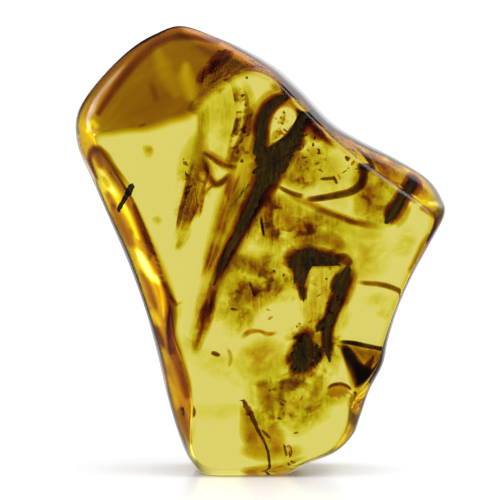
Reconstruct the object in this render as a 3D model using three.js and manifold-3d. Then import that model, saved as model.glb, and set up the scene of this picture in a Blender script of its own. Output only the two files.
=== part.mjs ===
// Polished piece of amber, stood on its narrow end, with bark, stems and other plant debris sealed in it.
// Millimetres, +Z up. The clear front window faces -Y and the back window faces +Y.
// The origin is on the surface that the piece stands on, under the middle of its outline.
import * as THREE from 'three';
import { mergeVertices } from 'three/addons/utils/BufferGeometryUtils.js';
import Module from 'manifold-3d';

const wasm = await Module();
wasm.setup();

// Amber body
const windowDepth = 6; // from the middle plane to the rim of each window
const windowCrown = 0.3; // swell of a window at its middle
const windowMiddle = { x: -0.9, z: 20 }; // the windows draw in towards this point
const frontRound = 0.4; // length that the rounding takes on each side of the front rim
const girdleRound = 1.2; // the same on the outermost edge
const backRound = 0.6; // the same on the back rim
const roundShare = 0.48; // most of a back bevel's width that a rounding may take
const windowRing = 0.5; // ring inside a window, as a share of the way from its middle to its rim
const bevelSwell = 1; // bulge of a bevel as wide as domeBevel
const bevelRows = [1 / 3, 2 / 3]; // rows across a front bevel
const domeBevel = 7; // width of the front bevel over the dome
const swellForward = 0.6; // how far the bulge leans to the front, as a share of its outward reach
const pointsPerStation = 2; // outline points from one station to the next

// Stations clockwise round the outermost edge, seen from the front, from the top of the dome:
// x, z, width of the front bevel, width of the back bevel, depth y of the edge.
const stations = [
  [-7.1, 40.4, 6.9, 3.0, 1.5],
  [-3.8, 39.3, 4.0, 2.4, 1.5],
  [-0.9, 38.0, 1.9, 1.8, 1.2],
  [1.5, 36.6, 1.3, 1.4, 1.0],
  [3.7, 34.6, 1.6, 1.3, 0.8],
  [6.5, 31.7, 1.4, 1.2, 0.6],
  [9.1, 30.0, 1.8, 1.2, 0.5],
  [12.2, 28.4, 2.7, 1.3, 0.5],
  [15.1, 26.6, 3.0, 1.4, 0.5],
  [16.4, 24.9, 2.0, 1.2, 0.3],
  [16.75, 23.3, 1.3, 0.9, 0.0],
  [15.5, 20.8, 0.9, 0.6, 0.0],
  [13.9, 17.9, 0.7, 0.5, 0.0],
  [12.6, 15.0, 0.6, 0.5, 0.0],
  [11.7, 12.1, 0.7, 0.5, 0.0],
  [11.2, 9.7, 1.1, 0.7, 0.2],
  [10.0, 7.3, 1.3, 0.8, 0.3],
  [9.2, 5.0, 1.3, 0.8, 0.3],
  [8.5, 3.2, 1.2, 0.8, 0.2],
  [6.9, 1.7, 1.0, 0.4, 0.0],
  [4.4, 0.7, 0.8, 0.4, 0.0],
  [1.6, -0.8, 1.6, 0.6, 0.0],
  [-1.8, -1.0, 1.7, 0.6, 0.0],
  [-4.7, -0.8, 1.7, 0.6, 0.0],
  [-6.5, 1.1, 1.3, 0.9, 0.5],
  [-7.5, 3.3, 3.6, 0.9, 1.5],
  [-8.5, 6.4, 3.6, 0.9, 3.0],
  [-9.5, 10.4, 2.8, 0.9, 4.2],
  [-10.5, 14.4, 2.9, 0.9, 2.6],
  [-12.1, 18.6, 3.1, 0.9, 4.2],
  [-13.8, 22.8, 3.6, 0.9, 2.8],
  [-15.5, 26.5, 4.4, 1.0, 4.2],
  [-16.6, 29.2, 4.3, 1.2, 3.0],
  [-16.8, 31.7, 2.6, 1.6, 2.0],
  [-16.0, 33.7, 4.2, 2.2, 1.5],
  [-14.2, 36.0, 6.2, 2.8, 1.5],
  [-11.8, 38.3, 7.4, 3.2, 1.5],
  [-9.5, 39.7, 7.9, 3.2, 1.5],
];

// Resin flow layer, the wavy surface that the debris lies on and the amber is parted along
const flowWave = 1.2; // height of the waves
const flowPhaseX = 0.17; // radians per millimetre
const flowPhaseZ = 0.12;
const flowLeanX = 0.05; // slope across and up the piece
const flowLeanZ = 0.04;
const flowCell = 2.5; // spacing of the layer's grid
const partingGap = 0.3; // between the two halves of the amber
const pocketGap = 0.3; // clear space round each piece of debris
const cutterSize = { x: 40, y: 20, z: 50 };

// Debris that is long: a centreline of x, z and half width, on the flow layer where no depth is given
const strandSides = 8;
const strandSteps = 2; // rings from one centreline point to the next
const strandFlatness = 0.5; // half thickness as a share of the half width
const strandThickest = 0.7;
const strandTip = 0.5; // reach of a tip past the last ring, as a share of the half width
const ragged = 0.16; // unevenness of the edges
const raggedAlong = 2.4; // its phase from ring to ring, radians
const raggedAround = 1.9; // its phase from side to side

const barkStrip = [
  [3.8, 30.3, 0.3],
  [3.7, 31.8, 0.45],
  [2.9, 33.0, 0.45],
  [1.6, 33.4, 0.55],
  [0.5, 32.6, 0.55],
  [0.0, 30.9, 0.55],
  [0.3, 29.4, 1.1],
  [1.1, 27.9, 1.8],
  [0.4, 26.0, 1.3],
  [-0.7, 24.1, 0.95],
  [-1.8, 22.0, 0.95],
  [-3.1, 20.2, 0.95],
  [-4.0, 18.2, 0.95],
  [-4.6, 16.0, 0.9],
  [-5.2, 13.7, 0.8],
  [-5.7, 11.4, 0.3],
];
const fibreRibbon = [
  [-4.7, 30.0, 0.3],
  [-4.6, 28.6, 0.45],
  [-5.2, 27.1, 0.65],
  [-5.8, 25.3, 0.7],
  [-6.3, 23.5, 0.65],
  [-7.1, 21.3, 0.35],
];
const stemStub = [
  [12.9, 25.5, 0.55],
  [12.5, 24.3, 0.55],
  [11.9, 23.0, 0.65],
  [11.2, 22.2, 0.45],
];
const woodSplinter = [
  [8.3, 19.0, 0.45],
  [7.5, 18.1, 0.6],
  [7.0, 16.9, 0.55],
  [6.8, 15.2, 0.5],
  [6.4, 13.7, 0.45],
  [6.2, 12.1, 0.45],
  [6.3, 10.3, 0.25],
];
const rootlet = [
  [-1.5, 6.5, 0.2],
  [-0.9, 5.4, 0.35],
  [-0.2, 4.2, 0.3],
  [0.5, 2.7, 0.25],
  [0.7, 1.5, 0.2],
];
// The twig also has its depth y: it follows the front surface, and its upper end opens into the window.
const twig = [
  [-11.4, 26.1, 0.25, -5.8],
  [-11.65, 25.5, 0.26, -5.5],
  [-11.9, 24.9, 0.26, -4.05],
  [-12.15, 24.35, 0.25, -2.9],
  [-12.5, 23.8, 0.22, -2.0],
];

// Debris that is flat: an outline of x, z points on the flow layer, thickest in the middle
const flakeSteps = 2; // outline points from one given point to the next
const flakeRings = [0.5, 0.85]; // rings between the middle and the outline, as shares of the way
const flakeThickness = 0.6; // half thickness in the middle

const barkFlake = [
  [2.6, 18.9],
  [3.0, 20.0],
  [4.2, 20.7],
  [6.0, 20.7],
  [7.0, 19.7],
  [6.3, 19.1],
  [5.3, 18.7],
  [4.4, 17.3],
  [3.7, 16.3],
  [3.1, 17.6],
];
const resinClot = [
  [3.4, 12.7],
  [4.2, 12.9],
  [4.9, 12.1],
  [5.3, 11.0],
  [5.1, 9.9],
  [4.2, 9.0],
  [3.1, 9.2],
  [2.5, 10.1],
  [2.6, 11.4],
];
const barkWedge = [
  [7.2, 11.8],
  [8.9, 11.6],
  [10.2, 10.9],
  [9.9, 9.2],
  [9.1, 7.4],
  [8.6, 8.5],
  [8.1, 9.9],
];
const leafScale = [
  [6.0, 7.4],
  [6.6, 7.9],
  [7.6, 7.9],
  [8.0, 7.4],
  [7.5, 6.8],
  [6.5, 6.7],
];
const barkCrumb = [
  [-4.7, 35.6],
  [-4.3, 36.7],
  [-3.3, 37.1],
  [-2.5, 36.6],
  [-2.8, 35.5],
  [-3.9, 34.7],
];

// Finishes
const finishes = {
  amber: { color: 0xdcb428, roughness: 0.05, metalness: 0, transparent: true, opacity: 0.35 },
  bark: { color: 0x33291a, roughness: 0.75, metalness: 0 },
  fibre: { color: 0x8a5a14, roughness: 0.7, metalness: 0 },
  scale: { color: 0xa9760f, roughness: 0.6, metalness: 0 },
};

// Depth of the flow layer at a point of the outline plane.
function flowDepth(x, z) {
  const wave = flowWave * Math.sin(flowPhaseX * x + flowPhaseZ * z);
  return wave + flowLeanX * x + flowLeanZ * (z - windowMiddle.z);
}

// Closed skin over rings of equally many points, with a point at each end.
function skin(firstTip, rings, lastTip) {
  const sides = rings[0].length;
  const points = [firstTip, ...rings.flat(), lastTip];
  const last = points.length - 1;
  const triangles = [];
  for (let k = 0; k < sides; k += 1) {
    const next = (k + 1) % sides;
    triangles.push(0, 1 + next, 1 + k);
    for (let row = 0; row < rings.length - 1; row += 1) {
      const here = 1 + row * sides;
      const there = here + sides;
      triangles.push(here + k, here + next, there + next);
      triangles.push(here + k, there + next, there + k);
    }
    const end = 1 + (rings.length - 1) * sides;
    triangles.push(last, end + k, end + next);
  }
  const geometry = new THREE.BufferGeometry().setFromPoints(points);
  geometry.setIndex(triangles);
  return geometry;
}

function toSolid(geometry) {
  const bare = geometry.clone();
  bare.deleteAttribute('normal');
  bare.deleteAttribute('uv');
  const merged = mergeVertices(bare);
  return new wasm.Manifold(
    new wasm.Mesh({
      numProp: 3,
      vertProperties: merged.getAttribute('position').array,
      triVerts: Uint32Array.from(merged.getIndex().array),
    }),
  );
}

function toGeometry(solid) {
  const { vertProperties, triVerts } = solid.getMesh();
  const geometry = new THREE.BufferGeometry();
  geometry.setAttribute('position', new THREE.BufferAttribute(vertProperties, 3));
  geometry.setIndex(new THREE.BufferAttribute(triVerts, 1));
  geometry.computeVertexNormals();
  return geometry;
}

function towards(from, to, length) {
  return from.clone().add(to.clone().sub(from).setLength(length));
}

// Section of the body at one place on the outline, from the front window over the edge to the back window.
function bodySection(x, z, frontBevel, backBevel, edgeDepth) {
  const inward = new THREE.Vector3(windowMiddle.x - x, 0, windowMiddle.z - z).normalize();
  const frontMiddle = new THREE.Vector3(windowMiddle.x, -windowDepth, windowMiddle.z);
  const backMiddle = new THREE.Vector3(windowMiddle.x, windowDepth, windowMiddle.z);
  const edge = new THREE.Vector3(x, edgeDepth, z);
  const frontRim = new THREE.Vector3(x, -windowDepth, z).addScaledVector(inward, frontBevel);
  const backRim = new THREE.Vector3(x, windowDepth, z).addScaledVector(inward, backBevel);

  const edgeRound = Math.min(girdleRound, roundShare * edge.distanceTo(backRim));
  const frontEnd = towards(frontRim, frontMiddle, frontRound);
  const backEnd = towards(backRim, backMiddle, backRound);
  const bevelStart = towards(frontRim, edge, frontRound);
  const bevelEnd = towards(edge, frontRim, edgeRound);
  const backStart = towards(edge, backRim, edgeRound);
  const backTurn = towards(backRim, edge, backRound);
  const corner = (start, peak, end) => new THREE.QuadraticBezierCurve3(start, peak, end).getPoints(2);

  const swell = inward.clone().negate().setY(-swellForward);
  const bevel = bevelRows.map((share) => {
    const height = (bevelSwell * frontBevel * 4 * share * (1 - share)) / domeBevel;
    return bevelStart.clone().lerp(bevelEnd, share).addScaledVector(swell, height);
  });
  const crowned = (middle, end) => {
    const point = middle.clone().lerp(end, windowRing);
    point.y += Math.sign(end.y) * windowCrown * (1 - windowRing * windowRing);
    return point;
  };
  const points = [
    crowned(frontMiddle, frontEnd),
    ...corner(frontEnd, frontRim, bevelStart),
    ...bevel,
    ...corner(bevelEnd, edge, backStart),
    backStart.clone().lerp(backTurn, 0.5),
    ...corner(backTurn, backRim, backEnd),
    crowned(backMiddle, backEnd),
  ];
  // The foot is ground flat where the outline would run below the surface it stands on.
  points.forEach((point) => {
    point.z = Math.max(point.z, 0);
  });
  return points;
}

// Whole amber: the sections set round a smooth closed curve through the stations.
function amberBody() {
  const closedCurve = (pick) => {
    const points = stations.map((row) => new THREE.Vector3(...pick(row)));
    return new THREE.CatmullRomCurve3(points, true, 'catmullrom', 0.5);
  };
  const outline = closedCurve(([x, z, frontBevel]) => [x, z, frontBevel]);
  const depths = closedCurve(([, , , backBevel, edgeDepth]) => [backBevel, edgeDepth, 0]);
  const count = stations.length * pointsPerStation;
  const sections = Array.from({ length: count }, (_, k) => {
    const [x, z, frontBevel] = outline.getPoint(k / count).toArray();
    const [backBevel, edgeDepth] = depths.getPoint(k / count).toArray();
    return bodySection(x, z, frontBevel, backBevel, edgeDepth);
  });
  const rings = sections[0].map((_, row) => sections.map((section) => section[row]));
  const front = new THREE.Vector3(windowMiddle.x, -windowDepth - windowCrown, windowMiddle.z);
  const back = new THREE.Vector3(windowMiddle.x, windowDepth + windowCrown, windowMiddle.z);
  return toSolid(skin(front, rings, back));
}

// Block on one side of the flow layer: side -1 lies in front of it and side 1 behind it.
function flowBlock(side) {
  const { x: wide, y: deep, z: high } = cutterSize;
  const block = new THREE.BoxGeometry(
    wide,
    deep,
    high,
    Math.round(wide / flowCell),
    1,
    Math.round(high / flowCell),
  );
  block.translate(0, (side * deep) / 2, windowMiddle.z);
  const position = block.getAttribute('position');
  for (let i = 0; i < position.count; i += 1) {
    if (Math.abs(position.getY(i)) < deep / 2) {
      position.setY(i, flowDepth(position.getX(i), position.getZ(i)) + (side * partingGap) / 2);
    }
  }
  return toSolid(block);
}

// Flattened strand: uneven oval rings along its centreline, laid on the flow layer or at their own depth.
function strand(centreline, grow) {
  const openCurve = (pick) => {
    const points = centreline.map((row) => new THREE.Vector3(...pick(row)));
    return new THREE.CatmullRomCurve3(points, false, 'catmullrom', 0.5);
  };
  const curve = openCurve(([x, z, halfWidth]) => [x, z, halfWidth]);
  const depths = openCurve(([, , , depth = 0]) => [depth, 0, 0]);
  const ownDepth = centreline[0].length > 3;
  const count = (centreline.length - 1) * strandSteps;
  const place = (share) => {
    const [x, z, halfWidth] = curve.getPoint(share).toArray();
    const tangent = curve.getTangent(share).setZ(0).normalize();
    const depth = depths.getPoint(share).x;
    const at = (px, pz, height) =>
      new THREE.Vector3(px, (ownDepth ? depth : flowDepth(px, pz)) + height, pz);
    return { x, z, halfWidth, tangent, at };
  };
  const rings = Array.from({ length: count + 1 }, (_, i) => {
    const { x, z, halfWidth, tangent, at } = place(i / count);
    const halfThickness = Math.min(strandFlatness * halfWidth, strandThickest) + grow;
    return Array.from({ length: strandSides }, (__, k) => {
      const turn = (2 * Math.PI * k) / strandSides;
      const uneven = 1 + ragged * Math.sin(raggedAlong * i + raggedAround * k);
      const across = (halfWidth * uneven + grow) * Math.cos(turn);
      return at(x - tangent.y * across, z + tangent.x * across, -halfThickness * Math.sin(turn));
    });
  });
  const tip = (share, way) => {
    const { x, z, halfWidth, tangent, at } = place(share);
    const reach = way * (strandTip * halfWidth + grow);
    return at(x + tangent.x * reach, z + tangent.y * reach, 0);
  };
  return skin(tip(0, -1), rings, tip(1, 1));
}

// Lens-shaped flake: rings drawn in from its outline towards its middle, front and back.
function flake(outline, grow) {
  const curve = new THREE.CatmullRomCurve3(
    outline.map(([x, z]) => new THREE.Vector3(x, z, 0)),
    true,
    'catmullrom',
    0.5,
  );
  const count = outline.length * flakeSteps;
  const rim = Array.from({ length: count }, (_, k) => curve.getPoint(k / count));
  const middle = new THREE.Vector3();
  rim.forEach((point) => middle.addScaledVector(point, 1 / count));
  const halfThickness = flakeThickness + grow;
  const at = (x, z, height) => new THREE.Vector3(x, flowDepth(x, z) + height, z);
  const ring = (share, side) =>
    rim.map((point) => {
      const reach = point.clone().sub(middle);
      reach.setLength((reach.length() + grow) * share).add(middle);
      return at(reach.x, reach.y, side * halfThickness * Math.sqrt(1 - share * share));
    });
  const rings = [
    ...flakeRings.map((share) => ring(share, -1)),
    ring(1, 1),
    ...flakeRings.map((share) => ring(share, 1)).reverse(),
  ];
  return skin(at(middle.x, middle.y, -halfThickness), rings, at(middle.x, middle.y, halfThickness));
}

const debris = [
  { name: 'bark_strip', make: strand, shape: barkStrip, finish: finishes.bark },
  { name: 'fibre_ribbon', make: strand, shape: fibreRibbon, finish: finishes.fibre },
  { name: 'stem_stub', make: strand, shape: stemStub, finish: finishes.bark },
  { name: 'wood_splinter', make: strand, shape: woodSplinter, finish: finishes.bark },
  { name: 'rootlet', make: strand, shape: rootlet, finish: finishes.fibre },
  { name: 'twig', make: strand, shape: twig, finish: finishes.bark },
  { name: 'bark_flake', make: flake, shape: barkFlake, finish: finishes.bark },
  { name: 'resin_clot', make: flake, shape: resinClot, finish: finishes.bark },
  { name: 'bark_wedge', make: flake, shape: barkWedge, finish: finishes.bark },
  { name: 'leaf_scale', make: flake, shape: leafScale, finish: finishes.scale },
  { name: 'bark_crumb', make: flake, shape: barkCrumb, finish: finishes.bark },
];

const group = new THREE.Group();
group.name = 'piece_of_amber';

function addNode(name, geometry, finish) {
  const mesh = new THREE.Mesh(geometry, new THREE.MeshStandardMaterial(finish));
  mesh.name = name;
  group.add(mesh);
}

// The amber is parted along the flow layer, and each piece of debris has a pocket between the halves.
let frontHalf = amberBody().intersect(flowBlock(-1));
let backHalf = amberBody().intersect(flowBlock(1));
debris.forEach(({ name, make, shape, finish }) => {
  const pocket = toSolid(make(shape, pocketGap));
  frontHalf = frontHalf.subtract(pocket);
  backHalf = backHalf.subtract(pocket);
  addNode(name, make(shape, 0), finish);
});
addNode('amber_front', toGeometry(frontHalf), finishes.amber);
addNode('amber_back', toGeometry(backHalf), finishes.amber);

export default group;
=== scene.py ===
import math

import bpy
import numpy as np
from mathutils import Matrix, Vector


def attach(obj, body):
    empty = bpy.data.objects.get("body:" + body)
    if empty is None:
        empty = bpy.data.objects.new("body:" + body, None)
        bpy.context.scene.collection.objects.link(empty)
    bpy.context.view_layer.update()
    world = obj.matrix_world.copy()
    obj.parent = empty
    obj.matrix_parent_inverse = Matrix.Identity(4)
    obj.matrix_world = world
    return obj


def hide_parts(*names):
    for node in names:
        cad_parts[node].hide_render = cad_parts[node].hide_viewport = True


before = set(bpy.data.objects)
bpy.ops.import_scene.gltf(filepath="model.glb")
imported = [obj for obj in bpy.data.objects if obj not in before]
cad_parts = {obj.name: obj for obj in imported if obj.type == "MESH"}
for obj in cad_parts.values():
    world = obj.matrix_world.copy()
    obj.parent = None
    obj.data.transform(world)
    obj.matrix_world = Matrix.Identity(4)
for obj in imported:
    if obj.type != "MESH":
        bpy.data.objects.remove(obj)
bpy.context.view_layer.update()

mm = 0.001  # shapes are worked out in millimetres and put into the meshes in metres
scene = bpy.context.scene
print("frame loaded,", len(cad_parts), "nodes")

# camera: level with the piece and a little above it, far enough off for little perspective
cameraLook = {
    "lens": 240,
    "sensor": 36,
    "nearest": 5.0,
    "elevation": 3.0,
    "target": (-0.907, 0.0, 20.05),
    "field": 45.35,  # width seen at the target
}


# distance at which the field fills the frame: field times lens over sensor
def cameraDistance(look):
    return look["field"] * look["lens"] / look["sensor"]


def placeCamera(look):
    camera = bpy.data.objects.new("camera", bpy.data.cameras.new("camera"))
    camera.data.lens = look["lens"]
    camera.data.sensor_width = look["sensor"]
    camera.data.clip_start = mm * look["nearest"]
    distance = cameraDistance(look)
    rise = math.radians(look["elevation"])
    x, y, z = look["target"]
    spot = (x, y - distance * math.cos(rise), z + distance * math.sin(rise))
    camera.location = [mm * value for value in spot]
    camera.rotation_euler = (math.pi / 2 - rise, 0, 0)
    scene.collection.objects.link(camera)
    scene.camera = camera


placeCamera(cameraLook)
print("camera placed")


# routes and outlines are drawn on a sheet of 500 by 500 steps laid over the front view, as steps across and
# down, with half widths in steps too
sheet = {"middle": 260.0, "foot": 471.0, "step": 0.0907}


# steps on the sheet as millimetres: x from the middle, z up from the foot
def onSheet(rows):
    rows = np.array(rows, float)
    rows[:, 0] -= sheet["middle"]
    rows[:, 1] = sheet["foot"] - rows[:, 1]
    return rows * sheet["step"]


# where points are seen on the sheet's plane from the front: drawn towards the camera's axis by their
# distance, and raised by the camera's rise the further back they lie
def seenFromFront(points):
    look = cameraLook
    distance = cameraDistance(look)
    x, _, z = look["target"]
    near = distance / (distance + points[..., 1])
    lifted = points[..., 2] + points[..., 1] * math.tan(math.radians(look["elevation"]))
    return np.stack([x + (points[..., 0] - x) * near, z + (lifted - z) * near], -1)


# shape helpers, all on whole arrays

# Catmull-Rom spline through rows of points, with a number of steps from each row to the next
def spline(points, steps, closed=False):
    p = np.asarray(points, float)
    if closed:
        before, here, after, last = (np.roll(p, k, 0) for k in (1, 0, -1, -2))
    else:
        p = np.vstack([2 * p[0] - p[1], p, 2 * p[-1] - p[-2]])
        before, here, after, last = p[:-3], p[1:-2], p[2:-1], p[3:]
    a, b, c, d = (q[:, None, :] for q in (before, here, after, last))
    t = np.linspace(0, 1, steps, endpoint=False)[None, :, None]
    curve = 2 * b + (c - a) * t + (2 * a - 5 * b + 4 * c - d) * t**2 + (3 * b - a - 3 * c + d) * t**3
    curve = 0.5 * curve.reshape(-1, p.shape[1])
    return curve if closed else np.vstack([curve, p[-2]])


# each vector over its length
def unit(v):
    return v / np.linalg.norm(v, axis=-1, keepdims=True)


# from 0 at low to 1 at high: three squares less two cubes of the share of the way
def smoothStep(low, high, x):
    t = np.clip((x - low) / (high - low), 0, 1)
    return t * t * (3 - 2 * t)


# random field on a closed grid, evened out over a few neighbours along and around
def unevenField(seed, rows, sides, along, around):
    field = np.random.default_rng(seed).normal(size=(rows, sides))
    for axis, reach in ((0, along), (1, around)):
        total = np.zeros_like(field)
        for k in range(-reach, reach + 1):
            total += np.roll(field, k, axis) * (reach + 1 - abs(k))
        field = total / np.sqrt(np.sum((reach + 1 - np.abs(np.arange(-reach, reach + 1))) ** 2))
    return field


# closed skin: rings joined by quads, with a fan to a tip at each end
def closedSkin(rings, firstTip, lastTip):
    rows, sides = rings.shape[:2]
    verts = np.vstack([rings.reshape(-1, 3), firstTip, lastTip])
    index = np.arange(rows * sides).reshape(rows, sides)
    beside = np.roll(index, -1, axis=1)
    quads = np.stack([index[:-1], beside[:-1], beside[1:], index[1:]], -1).reshape(-1, 4)
    firstFan = np.stack([np.full(sides, rows * sides), beside[0], index[0]], -1)
    lastFan = np.stack([np.full(sides, rows * sides + 1), index[-1], beside[-1]], -1)
    return facingOut(verts, quads, np.vstack([firstFan, lastFan]))


# turns all faces round where the signed volume of the skin is negative
def facingOut(verts, quads, fans):
    corners = np.vstack([quads[:, :3], quads[:, [0, 2, 3]], fans])
    a, b, c = (verts[corners[:, k]] - verts[0] for k in range(3))
    if np.einsum("ij,ij->", a, np.cross(b, c)) < 0:
        quads, fans = quads[:, ::-1], fans[:, ::-1]
    return verts, quads, fans


# several skins, each with its values per vertex, as one
def joinSkins(parts):
    starts = np.cumsum([0] + [len(skin[0]) for skin, values in parts])
    verts = np.vstack([skin[0] for skin, values in parts])
    quads = np.vstack([skin[1] + start for (skin, values), start in zip(parts, starts)])
    fans = np.vstack([skin[2] + start for (skin, values), start in zip(parts, starts)])
    joined = {key: np.concatenate([values[key] for skin, values in parts]) for key in parts[0][1]}
    return (verts, quads, fans), joined


# mesh of a skin with its values as attributes, on the root body, standing for the solids that are named
def newPiece(name, skin, values, material, stands=()):
    verts, quads, fans = skin
    mesh = bpy.data.meshes.new(name)
    mesh.from_pydata((verts * mm).tolist(), [], quads.tolist() + fans.tolist())
    mesh.polygons.foreach_set("use_smooth", np.ones(len(mesh.polygons), bool))
    for key, data in values.items():
        kind, field = ("FLOAT", "value") if data.ndim == 1 else ("FLOAT_VECTOR", "vector")
        layer = mesh.attributes.new(key, kind, "POINT")
        layer.data.foreach_set(field, data.astype(np.float32).ravel())
    mesh.materials.append(material)
    piece = bpy.data.objects.new(name, mesh)
    scene.collection.objects.link(piece)
    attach(piece, "root")
    if stands:
        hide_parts(*stands)


# wavy layer of the resin flow that the debris lies on: a sine across and up the piece, with a lean
flowLayer = {"wave": 1.2, "phaseX": 0.17, "phaseZ": 0.12, "leanX": 0.05, "leanZ": 0.04, "middleZ": 20.0}


def flowDepth(x, z):
    f = flowLayer
    wave = f["wave"] * np.sin(f["phaseX"] * x + f["phaseZ"] * z)
    return wave + f["leanX"] * x + f["leanZ"] * (z - f["middleZ"])


# material helpers

def newMaterial(name):
    material = bpy.data.materials.new(name)
    material.use_nodes = True
    tree = material.node_tree
    return material, tree, tree.nodes["Principled BSDF"]


def addNode(tree, kind, inputs=None, **settings):
    node = tree.nodes.new("ShaderNode" + kind)
    for key, value in settings.items():
        setattr(node, key, value)
    for key, value in (inputs or {}).items():
        if isinstance(value, bpy.types.NodeSocket):
            tree.links.new(value, node.inputs[key])
        else:
            node.inputs[key].default_value = value
    return node


def setSockets(shader, sockets):
    for key, value in sockets.items():
        shader.inputs[key].default_value = value


def mathNode(tree, operation, first, second=0.0):
    return addNode(tree, "Math", {0: first, 1: second}, operation=operation).outputs[0]


def attribute(tree, name):
    return addNode(tree, "Attribute", attribute_name=name).outputs


# group with number inputs at their starting values, a vector input where there is none, and one output
def newGroup(name, ins, out, outKind):
    tree = bpy.data.node_groups.new(name, "ShaderNodeTree")
    for label, value in ins.items():
        kind = "NodeSocketVector" if value is None else "NodeSocketFloat"
        socket = tree.interface.new_socket(label, in_out="INPUT", socket_type=kind)
        if value is not None:
            socket.default_value = value
    tree.interface.new_socket(out, in_out="OUTPUT", socket_type=outKind)
    return tree, tree.nodes.new("NodeGroupInput").outputs, tree.nodes.new("NodeGroupOutput").inputs


# tint of resin-soaked matter: each colour channel passes its share once for every unit of density, up to
# the stain's limit; green also falls with the square of the density, which turns yellow into orange, and
# beyond the soot's start all channels fall alike
tintLook = {
    "ins": {"Density": 1.0, "Green": 0.9},
    "Red": 0.80,
    "Green": 0.80,
    "Blue": 0.13,
    "stainLimit": 3.0,
    "sootStart": 2.6,
    "sootShare": 0.62,
}


def makeTintGroup(look):
    tree, ins, outs = newGroup("resinTint", look["ins"], "Color", "NodeSocketColor")
    stain = mathNode(tree, "MINIMUM", ins["Density"], look["stainLimit"])
    soot = mathNode(tree, "MAXIMUM", mathNode(tree, "SUBTRACT", ins["Density"], look["sootStart"]), 0.0)
    dark = mathNode(tree, "POWER", look["sootShare"], soot)
    channels = {}
    for key in ("Red", "Green", "Blue"):
        channels[key] = mathNode(tree, "MULTIPLY", mathNode(tree, "POWER", look[key], stain), dark)
    square = mathNode(tree, "POWER", ins["Green"], mathNode(tree, "MULTIPLY", stain, stain))
    channels["Green"] = mathNode(tree, "MULTIPLY", channels["Green"], square)
    tree.links.new(addNode(tree, "CombineColor", channels).outputs[0], outs["Color"])
    return tree


# fibre grain: fine noise drawn out along the piece, from the piece's own along and across values
grainLook = {
    "ins": {"Vector": None, "Along": 0.35, "Across": 3.2, "Detail": 5.0},
    "roughness": 0.6,
    "swirl": 0.5,
}


def makeGrainGroup(look):
    tree, ins, outs = newGroup("fibreGrain", look["ins"], "Grain", "NodeSocketFloat")
    scale = addNode(tree, "CombineXYZ", {0: ins["Along"], 1: ins["Across"], 2: ins["Across"]}).outputs[0]
    drawn = addNode(tree, "VectorMath", {0: ins["Vector"], 1: scale}, operation="MULTIPLY").outputs[0]
    noise = {"Vector": drawn, "Scale": 1.0, "Detail": ins["Detail"]}
    noise.update({"Roughness": look["roughness"], "Distortion": look["swirl"]})
    tree.links.new(addNode(tree, "TexNoise", noise).outputs[0], outs["Grain"])
    return tree


# broken cover: swirled noise spread to a share from none to more than whole
brokenLook = {
    "ins": {"Vector": None, "Scale": 400.0, "Swirl": 0.3, "Low": 0.3, "High": 0.7},
    "detail": 6.0,
    "roughness": 0.6,
    "fullest": 1.6,
}


def makeBrokenGroup(look):
    tree, ins, outs = newGroup("brokenCover", look["ins"], "Share", "NodeSocketFloat")
    noise = {"Vector": ins["Vector"], "Scale": ins["Scale"], "Distortion": ins["Swirl"]}
    noise.update({"Detail": look["detail"], "Roughness": look["roughness"]})
    noise = addNode(tree, "TexNoise", noise).outputs[0]
    spread = {0: noise, 1: ins["Low"], 2: ins["High"], 3: 0.0, 4: look["fullest"]}
    tree.links.new(addNode(tree, "MapRange", spread).outputs[0], outs["Share"])
    return tree


tintGroup = makeTintGroup(tintLook)
grainGroup = makeGrainGroup(grainLook)
brokenGroup = makeBrokenGroup(brokenLook)


# clear amber: plain transmission and absorption, with a honey-brown rind left on the dome and the bevels
# that also holds painted shade and painted light; each unit of rind passes a share of every colour
amberLook = {
    "ior": 1.54,
    "roughness": 0.015,
    "absorb": (0.014, 0.023, 0.145),  # per millimetre
    "rind_and_shade": {"Red": 0.72, "Green": 0.56, "Blue": 0.015},
    "patchiness": 0.5,
    "patches": {"Along": 0.16, "Across": 0.5, "Detail": 2.0},
}


def makeAmberMaterial(look):
    material, tree, shader = newMaterial("clear_amber")
    setSockets(shader, {"Transmission Weight": 1.0, "IOR": look["ior"], "Roughness": look["roughness"]})
    inputs = {"Vector": attribute(tree, "grain")["Vector"], **look["patches"]}
    grain = addNode(tree, "Group", inputs, node_tree=grainGroup).outputs[0]
    swing = mathNode(tree, "MULTIPLY", mathNode(tree, "SUBTRACT", grain, 0.5), look["patchiness"])
    soak = mathNode(tree, "MULTIPLY", attribute(tree, "rind_and_shade")["Fac"], mathNode(tree, "ADD", swing, 1.0))
    twice = mathNode(tree, "MULTIPLY", soak, 2.0)  # the shader tints by the root of its colour
    channels = {key: mathNode(tree, "POWER", share, twice) for key, share in look["rind_and_shade"].items()}
    tree.links.new(addNode(tree, "CombineColor", channels).outputs[0], shader.inputs["Base Color"])
    strongest = max(look["absorb"])
    passing = (*[1 - share / strongest for share in look["absorb"]], 1)
    volume = addNode(tree, "VolumeAbsorption", {"Color": passing, "Density": strongest / mm})
    tree.links.new(volume.outputs[0], tree.nodes["Material Output"].inputs["Volume"])
    return material


# bark and wood: near-black brown with fibres, paler and browner where the grain rises
barkLook = {
    "dark": (0.012, 0.009, 0.005, 1),
    "light": (0.16, 0.075, 0.02, 1),
    "rise": (0.42, 0.75),  # grain where the brown begins and where it is full
    "roughness": 0.7,
    "bump": {"Strength": 0.4, "Distance": 0.2 * mm},
}


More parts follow.
